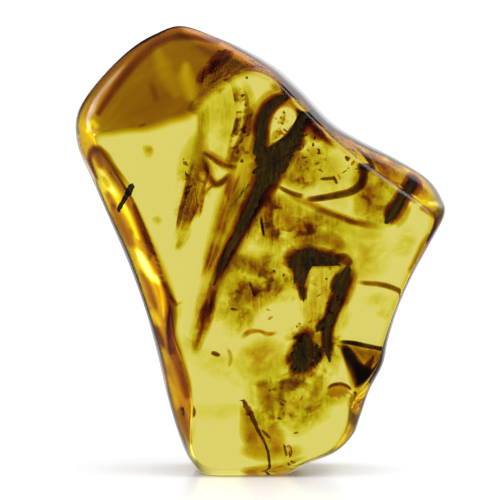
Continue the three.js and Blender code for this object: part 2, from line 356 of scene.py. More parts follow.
def makeBarkMaterial(look):
    material, tree, shader = newMaterial("dark_bark")
    grain = addNode(tree, "Group", {"Vector": attribute(tree, "grain")["Vector"]}, node_tree=grainGroup)
    low, high = look["rise"]
    rise = addNode(tree, "MapRange", {0: grain.outputs[0], 1: low, 2: high}).outputs[0]
    colour = addNode(tree, "Mix", {0: rise, 6: look["dark"], 7: look["light"]}, data_type="RGBA").outputs[2]
    tree.links.new(colour, shader.inputs["Base Color"])
    setSockets(shader, {"Roughness": look["roughness"]})
    bump = addNode(tree, "Bump", {"Height": grain.outputs[0], **look["bump"]})
    tree.links.new(bump.outputs[0], shader.inputs["Normal"])
    return material


# stained resin: a film that only tints what passes, by its own density value broken up by noise, with
# streaks along the grain where they are given; the nearer green is to 1, the more olive the stain
stainLooks = {
    "cloud_stain": {"scale": 300.0, "swirl": 0.35, "spread": (0.34, 0.74), "green": 0.905},
    "blot_stain": {"scale": 700.0, "swirl": 0.4, "spread": (0.48, 0.72), "green": 0.915},
    "line_stain": {"scale": 500.0, "swirl": 0.5, "spread": (0.05, 0.75), "green": 0.915},
    "soft_stain": {"scale": 350.0, "swirl": 0.3, "spread": (0.10, 0.80), "green": 0.892},
    "fibre_stain": {
        "scale": 450.0, "swirl": 0.0, "spread": (0.24, 0.62), "green": 0.885, "streaks": (0.45, 1.45),
    },
    "run_stain": {
        "scale": 600.0, "swirl": 0.6, "spread": (0.34, 0.70), "green": 0.905, "streaks": (0.5, 1.4),
    },
}
streakGrain = (0.35, 0.65)  # grain at the faintest and at the strongest streak


def makeStainMaterial(name, look):
    material, tree, shader = newMaterial(name)
    setSockets(shader, {"Transmission Weight": 1.0, "IOR": 1.0, "Roughness": 0.0})
    low, high = look["spread"]
    noise = {"Scale": look["scale"], "Swirl": look["swirl"], "Low": low, "High": high}
    noise["Vector"] = addNode(tree, "TexCoord").outputs["Object"]
    broken = addNode(tree, "Group", noise, node_tree=brokenGroup).outputs[0]
    if "streaks" in look:
        grain = addNode(tree, "Group", {"Vector": attribute(tree, "grain")["Vector"]}, node_tree=grainGroup)
        low, high = streakGrain
        faint, strong = look["streaks"]
        spread = {0: grain.outputs[0], 1: low, 2: high, 3: faint, 4: strong}
        broken = mathNode(tree, "MULTIPLY", broken, addNode(tree, "MapRange", spread).outputs[0])
    density = mathNode(tree, "MULTIPLY", attribute(tree, "soak")["Fac"], broken)
    tint = addNode(tree, "Group", {"Density": density, "Green": look["green"]}, node_tree=tintGroup)
    tree.links.new(tint.outputs["Color"], shader.inputs["Base Color"])
    return material


clearAmber = makeAmberMaterial(amberLook)
darkBark = makeBarkMaterial(barkLook)
stains = [makeStainMaterial(name, look) for name, look in stainLooks.items()]
cloudStain, blotStain, lineStain, softStain, fibreStain, runStain = stains
print("materials made")


# the amber: x and z on the outermost edge, width of the front bevel, of the back bevel, depth of the edge,
# and the rind on the bevel, along the line where it meets the front window, and along the edge; the rind
# holds painted shade where the bevels look dark, and the other two are painted shade, the dark lines
# along the bevel's inner and outer edges
amberShape = {
    "stations": [
        (-7.1, 40.4, 6.9, 3.0, 1.5, 3.0, 3.2, 4.2), (-3.8, 39.3, 4.0, 2.4, 1.5, 3.6, 3.0, 3.6),
        (-0.9, 38.0, 1.7, 1.8, 1.2, 3.6, 2.4, 3.6), (1.5, 36.6, 1.1, 1.4, 1.0, 3.2, 1.6, 3.6),
        (3.7, 34.6, 1.1, 1.3, 0.8, 3.6, 2.0, 3.8), (6.5, 31.7, 0.95, 1.2, 0.6, 3.6, 2.0, 3.8),
        (9.1, 30.0, 1.4, 1.2, 0.5, 2.6, 1.2, 3.4), (12.2, 28.4, 2.1, 1.3, 0.5, 1.5, 0.9, 2.6),
        (15.1, 26.6, 2.6, 1.4, 0.5, 1.7, 0.9, 2.2), (16.4, 24.9, 2.0, 1.2, 0.3, 1.4, 0.8, 1.8),
        (16.75, 23.3, 1.3, 0.9, 0.0, 2.2, 0.9, 3.0), (15.5, 20.8, 0.9, 0.6, 0.0, 2.6, 1.0, 3.0),
        (13.9, 17.9, 0.7, 0.5, 0.0, 2.2, 0.6, 3.0), (12.6, 15.0, 0.6, 0.5, 0.0, 1.2, 0.3, 2.6),
        (11.7, 12.1, 0.7, 0.5, 0.0, 1.0, 0.3, 3.0), (11.2, 9.7, 0.9, 0.7, 0.1, 0.9, 0.4, 1.6),
        (10.0, 7.3, 1.1, 0.8, 0.2, 0.9, 0.6, 0.8), (9.2, 5.0, 1.9, 0.8, 0.3, 0.9, 0.7, 0.8),
        (8.5, 3.2, 1.5, 0.8, 0.2, 0.6, 0.4, 0.5), (6.9, 1.7, 1.0, 0.4, 0.0, 0.1, 0.0, 0.3),
        (4.4, 0.7, 0.8, 0.4, 0.0, 0.0, 0.0, 0.3), (1.6, -0.8, 1.6, 0.6, 0.0, 0.0, 0.0, 0.6),
        (-1.8, -1.0, 1.7, 0.6, 0.0, 0.0, 0.0, 0.6), (-4.7, -0.8, 1.7, 0.6, 0.0, 0.0, 0.0, 0.6),
        (-6.5, 1.1, 1.3, 0.9, 0.5, 0.5, 0.2, 0.8), (-7.5, 3.3, 3.6, 0.9, 1.5, 3.0, 3.0, 2.4),
        (-8.5, 6.4, 3.6, 0.9, 3.0, 3.0, 3.6, 2.2), (-9.5, 10.4, 2.8, 0.9, 4.2, 2.8, 3.8, 2.0),
        (-10.5, 14.4, 2.9, 0.9, 2.6, 2.4, 3.6, 1.6), (-12.1, 18.6, 3.1, 0.9, 4.2, 1.6, 3.8, 1.6),
        (-13.8, 22.8, 3.6, 0.9, 2.8, 1.6, 3.8, 1.6), (-15.5, 26.5, 4.4, 1.0, 4.2, 0.8, 4.0, 1.4),
        (-16.6, 29.2, 4.3, 1.2, 3.0, 1.6, 4.0, 1.4), (-16.8, 31.7, 2.6, 1.6, 2.0, 1.6, 1.2, 1.8),
        (-16.0, 33.7, 4.2, 2.2, 1.5, 2.6, 2.6, 4.0), (-14.2, 36.0, 6.2, 2.8, 1.5, 3.0, 3.3, 4.2),
        (-11.8, 38.3, 7.4, 3.2, 1.5, 3.0, 3.3, 4.2), (-9.5, 39.7, 7.9, 3.2, 1.5, 3.0, 3.3, 4.4),
    ],
    "middle": (-0.9, 20.0),
    "depth": 6.0,
    "crown": 0.3,
    "frontRound": 0.7,
    "edgeRound": 0.2,
    "edgeRoundMost": 0.48,  # share of the back bevel
    "backRound": 0.6,
    "swell": 1.0,  # on a bevel as wide as the dome's
    "domeBevel": 7.0,
    "swellForward": 0.6,
    "rindFade": {"least": 0.25, "most": 0.6, "bevel": 4.0, "gain": 0.08},  # wider on the dome
    "rimShadeBand": (0.75, 0.95),  # share of the way over the bevel where the edge's painted shade comes in
    "behindEdgeShade": (0.4, 0.3),  # shares of the edge's painted shade at the start and end of the back bevel
    "steps": {"station": 14, "window": 14, "bevel": 30, "behind": 8, "corner": 10, "edge": 16},
}

# darker and lighter places in the rind's tint, drawn as strokes over the front: route with half widths,
# change;
# most are painted shade and painted light, the dark bands and bright patches of the dome and the bevels
strokeLook = {"steps": 8, "falloff": 1.5}
shadeAndLightStrokes = [
    ([(217, 42, 4), (197, 38, 4.5), (178, 37, 5), (160, 43, 6), (147, 52, 6.5), (134, 64, 6.5),
      (122, 79, 6), (109, 97, 5), (99, 113, 4)], 3.2),  # dome: painted shade, the dark band inside its rim
    ([(158, 52, 7), (163, 66, 12), (170, 82, 12), (176, 94, 7)], -0.9),
    ([(152, 86, 5), (156, 98, 5)], 0.9),
    # painted highlight: the bright oval in the dome
    ([(186, 66, 6), (186, 78, 11), (190, 92, 11), (194, 100, 6)], -1.7),
    ([(200, 46, 5), (215, 54, 8), (235, 64, 7)], 0.8),
    ([(199, 84, 3), (203, 72, 5), (207, 64, 4)], -0.8),
    ([(88, 131, 3), (92, 122, 4), (97, 126, 4)], -1.4),
    ([(97, 178, 1.5), (92.5, 168, 2.5), (90, 157, 3.5), (94, 149.5, 4.5), (101, 150.5, 5), (107, 158, 4),
      (113, 167, 3.2), (119, 177, 2.6), (126, 189, 2.2)], 5.0),  # left bevel: a painted dark reflection, from its round upper end down
    # further down the left bevel: painted shade in its dark streaks and painted highlights in its golden
    # ones
    ([(97, 156, 5), (101, 166, 4)], 2.4),
    ([(100, 170, 4), (110, 182, 9), (120, 194, 6)], -1.2),
    ([(104, 178, 3), (108, 185, 4)], 1.4),
    ([(108, 194, 4), (114, 205, 5)], 2.4),
    ([(113, 206, 4), (119, 218, 8), (126, 232, 7), (131, 244, 5)], 2.4),
    ([(124, 204, 3), (129, 214, 4), (134, 226, 4), (138, 238, 3)], -1.8),
    ([(134, 206, 3), (140, 222, 4), (147, 240, 4.5), (153, 254, 3)], 3.2),
    ([(126, 189, 1.8), (134, 203, 2), (145.5, 230, 2.2), (155.7, 256.5, 2.2), (166, 289, 2.5),
      (176, 304, 2.5)], 3.5),
    ([(137, 250, 3), (144, 262, 7), (152, 275, 7), (158, 282, 4)], -2.2),
    ([(141, 273, 3), (148, 286, 5), (153, 300, 5), (156, 308, 3)], 2.0),
    ([(156, 276, 2.5), (161, 290, 3), (163, 304, 3), (164, 316, 2)], -1.4),
    ([(165, 284, 4), (171, 300, 6), (173, 316, 6), (170, 334, 6), (172, 350, 6)], 2.6),
    ([(150, 312, 3), (155, 318, 6), (160, 325, 3)], -1.2),
    ([(156, 328, 3), (160, 337, 4), (163, 346, 3)], 3.0),
    ([(160, 348, 3), (164, 355, 5), (167, 363, 3)], -1.0),
    ([(172, 350, 5), (180, 368, 7), (185, 384, 7), (187, 396, 5)], 2.2),
    ([(168, 378, 3), (173, 392, 5), (177, 408, 4)], -1.0),
    ([(181, 410, 5), (186, 426, 6), (190, 443, 3)], 1.8),
    ([(430, 203, 3), (437, 204, 4), (441, 206, 3)], -1.6),  # right corner and edge: painted light at the corner, painted shade just below it
    ([(423, 208, 4), (431, 212, 5), (436, 218, 3)], 2.4),
    ([(428, 236, 3), (423, 246, 5), (417, 258, 4), (410, 270, 3)], 1.6),
    ([(359, 394, 6), (357, 408, 7.5), (353, 420, 6.5), (348, 433, 4)], 0.8),  # lower right facet
]


# strokes on a skin: each adds its change, falling off smoothly from the route to its half width
def strokedOver(points, strokes, look):
    seen = seenFromFront(points).reshape(-1, 2)
    total = np.zeros(len(seen))
    for route, change in strokes:
        line = spline(onSheet(route), look["steps"])
        away = np.linalg.norm(seen[:, None, :] - line[None, :, :2], axis=2) / line[None, :, 2]
        total += change * np.maximum(1 - away.min(1) ** 2, 0) ** look["falloff"]
    return total.reshape(points.shape[:-1])


# section from the front window over the edge to the back window, carried round the outline: straight runs
# joined by quadratic corners, with a crown on the windows and a bulge on the front bevel
def amberSkin(s):
    steps = s["steps"]
    ring = spline(s["stations"], steps["station"], closed=True)
    outline, frontBevel, backBevel, edgeDepth = ring[:, :2], ring[:, 2], ring[:, 3], ring[:, 4]
    inward = unit(np.array(s["middle"]) - outline)

    def raised(plan, depth):  # points of the front view at a depth
        return np.stack([plan[:, 0], np.broadcast_to(depth, len(plan)), plan[:, 1]], 1)

    frontMiddle = np.array([s["middle"][0], -s["depth"], s["middle"][1]])
    backMiddle = np.array([s["middle"][0], s["depth"], s["middle"][1]])
    edge = raised(outline, edgeDepth)
    frontRim = raised(outline + inward * frontBevel[:, None], -s["depth"])
    backRim = raised(outline + inward * backBevel[:, None], s["depth"])
    backWidth = np.linalg.norm(backRim - edge, axis=1)[:, None]
    edgeRound = np.minimum(s["edgeRound"], s["edgeRoundMost"] * backWidth)
    frontEnd = frontRim + unit(frontMiddle - frontRim) * s["frontRound"]
    bevelStart = frontRim + unit(edge - frontRim) * s["frontRound"]
    bevelEnd = edge + unit(frontRim - edge) * edgeRound
    backStart = edge + unit(backRim - edge) * edgeRound
    backTurn = backRim + unit(edge - backRim) * s["backRound"]
    backEnd = backRim + unit(backMiddle - backRim) * s["backRound"]

    def run(start, end, kind):  # inner points of a straight run
        t = np.linspace(0, 1, steps[kind] + 1)[1:-1, None, None]
        return start + (end - start) * t, t

    def corner(start, peak, end, kind):  # quadratic curve drawn towards the peak
        t = np.linspace(0, 1, steps[kind] + 1)[:, None, None]
        return (1 - t) ** 2 * start + 2 * t * (1 - t) * peak + t**2 * end

    front, t = run(frontMiddle, frontEnd, "window")
    front[:, :, 1] -= s["crown"] * (1 - t[:, :, 0] ** 2)
    bevel, across = run(bevelStart, bevelEnd, "bevel")
    swell = np.stack([-inward[:, 0], np.full(len(inward), -s["swellForward"]), -inward[:, 1]], 1)
    bevel += swell * (s["swell"] * frontBevel / s["domeBevel"])[:, None] * 4 * across * (1 - across)
    behind, t = run(backStart, backTurn, "behind")
    back, t = run(backEnd, backMiddle, "window")
    back[:, :, 1] += s["crown"] * (1 - (1 - t[:, :, 0]) ** 2)

    # rind: tint with painted shade in it; seam and rim values: painted shade along the bevel's inner and
    # outer edges
    rind_and_shade, seamShade, rim = ring[:, 5], ring[:, 6], ring[:, 7]
    across = across[:, :, 0]
    f = s["rindFade"]
    fade = np.clip(f["least"] + f["gain"] * (frontBevel - f["bevel"]), f["least"], f["most"])
    onBevel = seamShade + (rind_and_shade - seamShade) * smoothStep(0, fade, across)
    onBevel += (rim - rind_and_shade) * smoothStep(*s["rimShadeBand"], across)
    startEdgeShade, endEdgeShade = (share * rim for share in s["behindEdgeShade"])

    def between(part, first, last):  # cover over a part, eased from its first value to its last
        share = smoothStep(0, 1, np.linspace(0, 1, len(part)))[:, None]
        return first + (last - first) * share

    frontCorner = corner(frontEnd, frontRim, bevelStart, "corner")
    edgeCorner = corner(bevelEnd, edge, backStart, "edge")
    backCorner = corner(backTurn, backRim, backEnd, "corner")
    parts = [
        (front, between(front, 0 * seamShade, 0 * seamShade)),
        (frontCorner, between(frontCorner, 0 * seamShade, seamShade)),
        (bevel, onBevel),
        (edgeCorner, between(edgeCorner, rim, startEdgeShade)),
        (behind, between(behind, startEdgeShade, endEdgeShade)),
        (backCorner, between(backCorner, endEdgeShade, 0 * rim)),
        (back, between(back, 0 * rim, 0 * rim)),
    ]
    rings = np.concatenate([part for part, cover in parts])
    rings[:, :, 2] = np.maximum(rings[:, :, 2], 0)  # the foot is ground flat
    cover = np.concatenate([cover for part, cover in parts])
    facing = len(front) + len(frontCorner) + len(bevel) + len(edgeCorner) // 2
    # the strokes add painted shade and painted light to the tint over the front
    cover[:facing] += strokedOver(rings[:facing], shadeAndLightStrokes, strokeLook)
    cover = np.maximum(cover, 0)
    along = np.cumsum(np.linalg.norm(outline - np.roll(outline, 1, 0), axis=1))[None, :]
    over = np.cumsum(np.linalg.norm(np.diff(rings, axis=0, prepend=rings[:1]), axis=2), axis=0)
    grain = np.stack([along + 0 * over, over, 0 * over], -1).reshape(-1, 3)
    lift = np.array([0, s["crown"], 0])
    skin = closedSkin(rings, frontMiddle - lift, backMiddle + lift)
    return skin, {"rind_and_shade": np.append(cover.ravel(), [0, 0]), "grain": np.vstack([grain, np.zeros((2, 3))])}


skin, values = amberSkin(amberShape)
newPiece("amber", skin, values, clearAmber, ("amber_front", "amber_back"))
print("amber made,", len(skin[0]), "points")


# values for all debris; a flake is a lens, with rows from near its middle out to the rim and back
debrisShape = {
    "thinnest": 0.03,  # least half width of a strand
    "thickest": 0.7,  # most half height of a strand
    "unevenMost": 2.0,
    "grainShift": 7.3,  # moves the grain for each seed
    "lensRows": 12,
    "lensStart": 0.06,  # share of the way from the middle to the rim
    "lensUneven": 0.15,
}


# uneven field kept within its limits
def unevenWithin(seed, rows, sides, along, around):
    most = debrisShape["unevenMost"]
    return np.clip(unevenField(seed, rows, sides, along, around), -most, most)


# long debris: a centreline with half widths; the section is a flat oval, uneven along and around, its
# height a share of the half width, laid on the flow layer, or at depths of its own
def strandSkin(route, seed, steps=10, sides=28, flat=0.5, ragged=0.2, tip=0.5, lift=0.0, depths=None):
    line = spline(onSheet(route), steps)
    rows = len(line)
    plan, half = line[:, :2], np.maximum(line[:, 2:], debrisShape["thinnest"])
    tangent = unit(np.gradient(plan, axis=0))
    turn = np.linspace(0, 2 * np.pi, sides, endpoint=False)[None, :]
    uneven = 1 + ragged * unevenWithin(seed, rows, sides, 2, 1)
    across = half * uneven * np.cos(turn)
    x = plan[:, :1] - tangent[:, 1:] * across
    z = plan[:, 1:] + tangent[:, :1] * across
    height = np.minimum(flat * half, debrisShape["thickest"]) * np.sin(turn) * uneven
    own = None if depths is None else spline(np.array(depths)[:, None], steps)

    def bed(x, z, row=slice(None)):  # depth that the strand lies at
        return flowDepth(x, z) + lift if own is None else own[row] + 0 * x

    rings = np.stack([x, bed(x, z) + height, z], -1)
    along = np.cumsum(np.linalg.norm(np.gradient(plan, axis=0), axis=1))[:, None] + 0 * across
    grain = np.stack([along, across + debrisShape["grainShift"] * seed, height], -1).reshape(-1, 3)

    def end(k, way):  # tip beyond an end of the centreline
        px, pz = plan[k] + way * tangent[k] * tip * half[k, 0]
        return np.array([px, np.ravel(bed(px, pz, k))[0], pz])

    tips = np.array([[along[0, 0], 0, 0], [along[-1, 0], 0, 0]])
    return closedSkin(rings, end(0, -1), end(-1, 1)), np.vstack([grain, tips]), turn, rows


# flat debris: rings drawn in from a closed outline towards its middle, swelling to a lens
def flakeSkin(outline, seed, thickness=0.6, steps=8, ragged=0.1, lift=0.0):
    rim = spline(onSheet(outline), steps, closed=True)
    middle = rim.mean(0)
    half = debrisShape["lensRows"]
    shares = np.sin(np.linspace(debrisShape["lensStart"], 1, half) * np.pi / 2)
    shares = np.concatenate([shares, shares[-2::-1]])[:, None]
    way = np.where(np.arange(len(shares)) < half, -1, 1)[:, None]
    uneven = unevenWithin(seed, len(shares), len(rim), 1, 1)
    reach = 1 + ragged * uneven[half - 1 : half] * shares
    x = middle[0] + (rim[:, 0] - middle[0])[None, :] * shares * reach
    z = middle[1] + (rim[:, 1] - middle[1])[None, :] * shares * reach
    height = way * thickness * np.sqrt(np.maximum(1 - shares**2, 0))
    height = height * (1 + debrisShape["lensUneven"] * uneven)
    rings = np.stack([x, flowDepth(x, z) + lift + height, z], -1)
    grain = np.stack([z, x + debrisShape["grainShift"] * seed, height], -1).reshape(-1, 3)
    bed = flowDepth(*middle) + lift
    low, high = (np.array([middle[0], bed + end * thickness, middle[1]]) for end in (-1, 1))
    tips = np.array([[middle[1], middle[0], -thickness], [middle[1], middle[0], thickness]])
    return closedSkin(rings, low, high), np.vstack([grain, tips]), shares, len(rim)


# films of stain, and how sharply the density of soaked debris turns at its edge
filmLook = {"flat": 0.02, "thickness": 0.03, "ragged": 0.05, "endFade": 0.6, "edgePower": 3}


# soaked strand: lets light through, with one density along its middle and another along its edges
def soakedStrand(route, seed, core, rim):
    skin, grain, turn, rows = strandSkin(route, seed)
    side = np.abs(np.cos(turn)) ** filmLook["edgePower"]
    soak = np.broadcast_to(core + (rim - core) * side, (rows, turn.size)).ravel()
    return skin, {"soak": np.append(soak, [rim, rim]), "grain": grain}


# soaked flake: the same from its middle to its rim
def soakedFlake(outline, seed, core, rim):
    skin, grain, shares, count = flakeSkin(outline, seed)
    side = shares ** filmLook["edgePower"]
    soak = np.broadcast_to(core + (rim - core) * side, (len(shares), count)).ravel()
    return skin, {"soak": np.append(soak, [core, core]), "grain": grain}


# veil along a line: a film whose density falls from the line to nothing at the sides, and near both ends
def lineVeil(route, seed, peak, lift, fall=1.0):
    skin, grain, turn, rows = strandSkin(route, seed, flat=filmLook["flat"], ragged=0.0, lift=lift)
    ends = smoothStep(0, filmLook["endFade"], np.sin(np.linspace(0, np.pi, rows)))[:, None]
    soak = peak * ends * np.abs(np.sin(turn)) ** (2 * fall)
    return skin, {"soak": np.append(soak.ravel(), [0, 0]), "grain": grain}


# veil over a patch: density falls from the middle to nothing at the rim
def patchVeil(outline, seed, peak, lift, fall=1.0):
    shape = {"thickness": filmLook["thickness"], "ragged": filmLook["ragged"], "lift": lift}
    skin, grain, shares, count = flakeSkin(outline, seed, **shape)
    soak = np.broadcast_to(peak * (1 - shares**2) ** fall, (len(shares), count)).ravel()
    return skin, {"soak": np.append(soak, [peak, peak]), "grain": grain}


# opaque debris, each piece of strands, which are routes with half widths, and flakes, which are outlines
barkPieces = {
    "bark_strip": {
        "strands": [
            [(293, 101, 1.2), (286, 98, 2.4), (278, 100.5, 3.2), (270.5, 105.5, 3.8), (265, 114, 4.2),
             (261.5, 126, 4.4), (260.5, 138, 4.4), (260, 149, 5.5), (263, 160, 7)],
            [(296, 102, 1.5), (300.5, 112, 2.4), (300.5, 123, 2.2), (298.5, 133, 2.2), (297, 141, 2.6)],
            [(267, 166, 8), (262, 180, 6.4), (257, 192, 4.6), (252, 205, 4.8), (246, 217, 3.8),
             (240.5, 229, 3.9), (233, 243, 2.8), (226, 258, 2.4), (220, 272, 1.5), (215, 284, 0.8)],
        ],
        "ragged": 0.2,
        "flakes": [
            [(260, 152), (268, 149), (277, 145.5), (287, 140.5), (299, 144.5), (295, 152), (290, 160),
             (284, 171), (276, 182), (266, 188), (257, 182), (255, 171), (256, 160)],
            [(265, 150), (275, 143), (285, 134), (292, 125), (297, 116), (301, 122), (301, 136),
             (293, 149), (279, 155)],
        ],
    },
    "stem_stub": {
        "strands": [
            [(404.5, 190.5, 2.6), (400, 198, 4.2), (395, 207, 4.8), (389, 216, 4.4), (384, 221.5, 2.2)],
        ],
    },
    "wood_splinter": {
        "strands": [
            [(347, 266, 3), (343.5, 275, 4.4), (339, 287, 4.2), (335, 300, 3.8), (330.5, 313, 3.4),
             (326.5, 325, 3.2), (325.5, 338, 2.6), (327, 350, 2), (329, 360, 1)],
            [(340, 272, 1.6), (334, 280, 1.6), (331, 290, 1)],
            [(328, 318, 1.5), (320, 324, 1.6), (315.5, 330, 1)],
            [(321, 345, 1.4), (318, 355, 1.6), (315.5, 363, 1)],
        ],
        "ragged": 0.16,
    },
    "twig": {
        "strands": [
            [(134.3, 183.2, 2.8), (131.6, 189.9, 2.9), (128.8, 196.5, 2.9), (126, 202.5, 2.8),
             (122.2, 208.6, 2.4)],
        ],
        "ragged": 0.1,
        "depths": (-5.8, -5.5, -4.05, -2.9, -2.0),
    },
    "bark_flake": {
        "strands": [
            [(302, 285, 1.8), (302, 292, 1.4), (303, 300, 0.7)],
        ],
        "flakes": [
            [(289, 262), (293, 255.5), (301, 250.5), (314, 249.5), (327, 251.5), (337, 258), (335, 264),
             (326, 263), (315, 261), (309, 269), (304.5, 279), (301.5, 289), (297.5, 282), (293, 272)],
        ],
    },
    "resin_clot": {
        "strands": [
            [(315, 344, 1.2), (317, 352, 1.8), (315, 362, 1)],
        ],
        "flakes": [
            [(304, 333), (310, 334), (312, 343), (313, 352), (310, 362), (305, 370), (297.5, 371),
             (291.5, 365), (290, 355), (293, 346), (299, 340)],
        ],
    },
}
barkShape = {"tip": 0.9, "ragged": 0.1}
barkSeeds = {"piece": 100, "flake": 20, "strandHalo": 50, "flakeHalo": 70}
haloLook = {
    "wider": 1.6,
    "margin": 2.6,
    "larger": 1.34,
    "density": 6.0,
    "behind": 0.45,
    "strandFall": 0.8,
    "flakeFall": 0.6,
}


# each strand and flake wears a dark halo, a veil wider than itself, where the resin has drawn its colour;
# a strand at depths of its own wears none
def barkParts(made, seed, look):
    parts, halos = [], []
    depths = made.get("depths")
    shape = {"tip": barkShape["tip"], "ragged": made.get("ragged", barkShape["ragged"]), "depths": depths}
    for k, route in enumerate(made["strands"]):
        skin, grain, *_ = strandSkin(route, seed + k, **shape)
        parts.append((skin, {"grain": grain}))
        if not depths:
            wide = np.array(route, float) * (1, 1, look["wider"]) + (0, 0, look["margin"])
            haloSeed = seed + barkSeeds["strandHalo"] + k
            halos.append(lineVeil(wide, haloSeed, look["density"], look["behind"], look["strandFall"]))
    for k, outline in enumerate(made.get("flakes", [])):
        skin, grain, *_ = flakeSkin(outline, seed + barkSeeds["flake"] + k)
        parts.append((skin, {"grain": grain}))
        middle = np.mean(outline, 0)
        wide = middle + (np.array(outline) - middle) * look["larger"]
        haloSeed = seed + barkSeeds["flakeHalo"] + k
        halos.append(patchVeil(wide, haloSeed, look["density"], look["behind"], look["flakeFall"]))
    return parts, halos


halos = []
for k, (name, made) in enumerate(barkPieces.items()):
    parts, around = barkParts(made, barkSeeds["piece"] * (k + 1), haloLook)
    skin, values = joinSkins(parts)
    newPiece(name + "_fine", skin, values, darkBark, (name,))
    halos += around
skin, values = joinSkins(halos)
newPiece("bark_halos", skin, values, softStain)
print("bark made")


# debris that the resin has soaked: material, slot and parts; a veil has a seed, a density and a depth behind
# the flow layer, a soaked strand or flake a seed and its densities in the middle and at the edge
soakedPieces = {
    "fibre_ribbon": (fibreStain, "fibre", [
        lineVeil([(209, 140, 3), (206, 155, 5), (201, 170, 7), (196, 188, 8.5), (191, 206, 8.5),
                  (186, 222, 7.5), (180, 240, 4)], 201, 1.8, 0.0),
        lineVeil([(196, 158, 1.6), (190, 176, 2.6), (185, 196, 2.8), (181, 216, 2.6),
                  (178, 234, 1.6)], 210, 3.4, 0.2),
        lineVeil([(210, 160, 1.6), (207, 176, 2.8), (203, 192, 2.8), (196, 210, 2.6),
                  (188, 228, 1.6)], 211, 2.6, 0.4),
        lineVeil([(190, 224, 6), (184, 238, 6), (179, 250, 3)], 212, 1.6, 0.3),
    ]),
    "rootlet": (lineStain, "fibre", [
        soakedStrand([(243.4, 398.5, 1.5), (247, 405, 2.8), (251, 412.5, 3), (254, 419, 2.2),
                      (257.5, 427, 1.7), (263, 437, 1.5), (267.5, 448, 1.4),
                      (269.5, 460.5, 1.1)], 202, 5.0, 2.5),
    ]),
    "leaf_scale": (softStain, "scale", [
        soakedFlake([(325.5, 390), (330, 384.5), (338, 382.5), (346, 384), (349, 388.5), (345, 394.5),
                     (337, 397), (329, 395)], 203, 2.2, 1.6),
        lineVeil([(324.5, 388.5, 1.4), (331, 383.5, 2.2), (340, 382, 2.4), (347.5, 385, 2),
                  (350, 389, 1.2)], 206, 4.2, -0.5),
    ]),
    "bark_wedge": (lineStain, "bark", [
        lineVeil([(339, 340, 3), (346, 350, 6), (352, 361, 8.5), (357, 372, 9), (359, 384, 7),
                  (357, 396, 3)], 204, 9.0, 0.0),
        lineVeil([(380, 346, 2.5), (374, 357, 5), (366, 369, 7), (360, 384, 5)], 207, 8.0, 0.15),
        lineVeil([(336, 339.5, 1.8), (352, 341.5, 2.8), (366, 344.5, 2.8),
                  (383, 347.5, 2)], 208, 8.0, 0.3),
        patchVeil([(345, 342), (362, 344), (381, 348), (378, 358), (369, 368), (360, 364),
                   (352, 352)], 209, 3.6, 0.4, 0.7),
        patchVeil([(351, 356), (360, 360), (368, 363), (373, 366), (370, 377), (365, 387), (358, 391),
                   (354, 384), (352, 370)], 213, 9.0, -0.1),
    ]),
    "bark_crumb": (cloudStain, "bark", [
        soakedFlake([(208, 78), (211, 68), (219, 61.5), (228, 62), (231, 71), (226, 82),
                     (217, 89)], 205, 8.0, 2.0),
    ]),
}
for name, (material, slot, parts) in soakedPieces.items():
    skin, values = joinSkins(parts)
    newPiece(name + "_fine", skin, values, material, (name,))
print("soaked debris made")


# stains that follow the debris, streaked along it: route, density, depth behind the flow layer, which is
# negative before it
streakedStains = [
    ([(262, 172, 16), (251, 198, 19), (240, 222, 18), (230, 245, 17), (220, 268, 14), (212, 290, 12),
      (205, 314, 11), (199, 334, 9), (196, 356, 4)], 1.9, 0.8),
    ([(218, 276, 4), (212, 298, 7.5), (206, 320, 8.5), (200, 338, 7), (196, 355, 3.5)], 3.6, 0.4),
    ([(240, 160, 5), (233, 184, 8), (226, 208, 9), (219, 232, 8), (211, 258, 6),
      (203, 284, 4)], 2.0, 0.95),
    ([(202, 104, 3), (202, 118, 5), (201, 135, 6), (196, 160, 8), (189, 190, 8),
      (180, 240, 4)], 1.3, 0.9),
    ([(353, 248, 6), (343, 276, 11), (335, 302, 11), (327, 330, 10), (326, 368, 5)], 2.0, 0.9),
    ([(262, 190, 4), (267, 204, 6), (268, 222, 4)], 2.0, 0.5),
]

